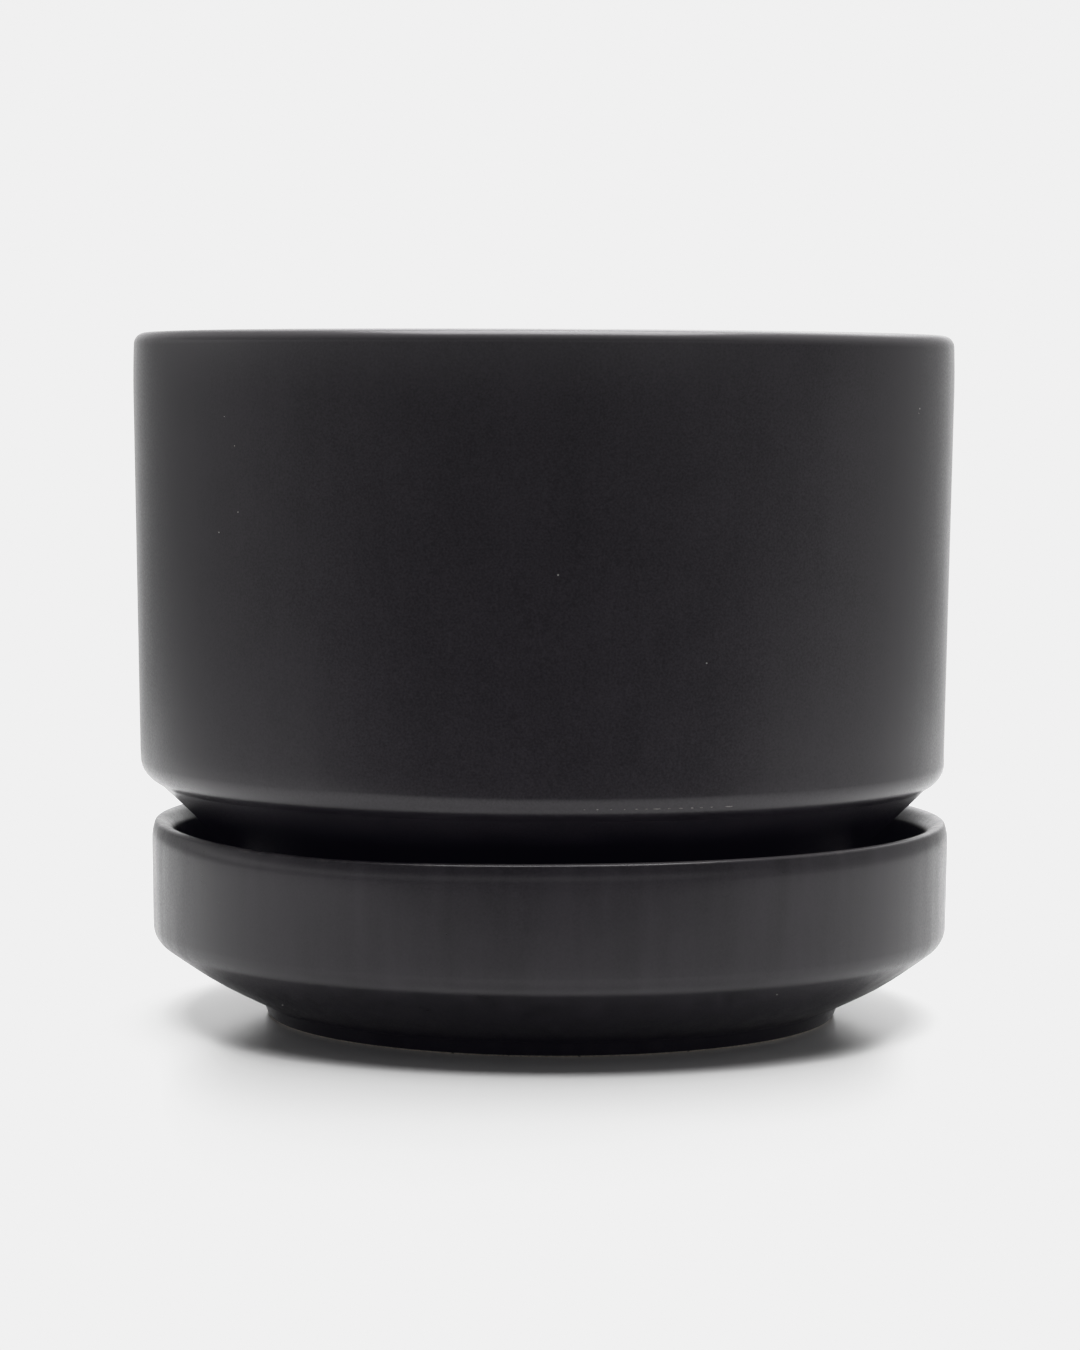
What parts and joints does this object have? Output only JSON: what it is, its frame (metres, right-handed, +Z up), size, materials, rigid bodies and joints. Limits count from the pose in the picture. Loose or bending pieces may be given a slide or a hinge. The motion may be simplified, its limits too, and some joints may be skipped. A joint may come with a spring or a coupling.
{
  "type": "plant pot with saucer",
  "caption": "Matte black stoneware plant pot, a tapered cylinder with an undercut base, standing on its foot in a separate bevelled drip saucer.",
  "frame": {"origin": "on the pot's axis, at the table top under the saucer's foot ring", "axes": "+Z up along the pot's axis, +X to the right and -Y towards the viewer; the saucer's own axis is upright too, 1.6 mm towards +X"},
  "size_m": [0.167, 0.167, 0.1385],
  "materials": {
    "pot_glaze": "matte black glaze, very fine grain, soft sheen at grazing angles",
    "saucer_glaze": "matte black glaze, very fine grain, with faint upright wipe marks"
  },
  "bodies": {
    "saucer": {"saucer": "saucer_glaze"},
    "pot": {"pot": "pot_glaze"}
  },
  "joints": [
    {"name": "pot_lift", "type": "slide", "parent": "saucer", "child": "pot", "axis": [0, 0, 1], "range_m": [0, 0.06]}
  ]
}
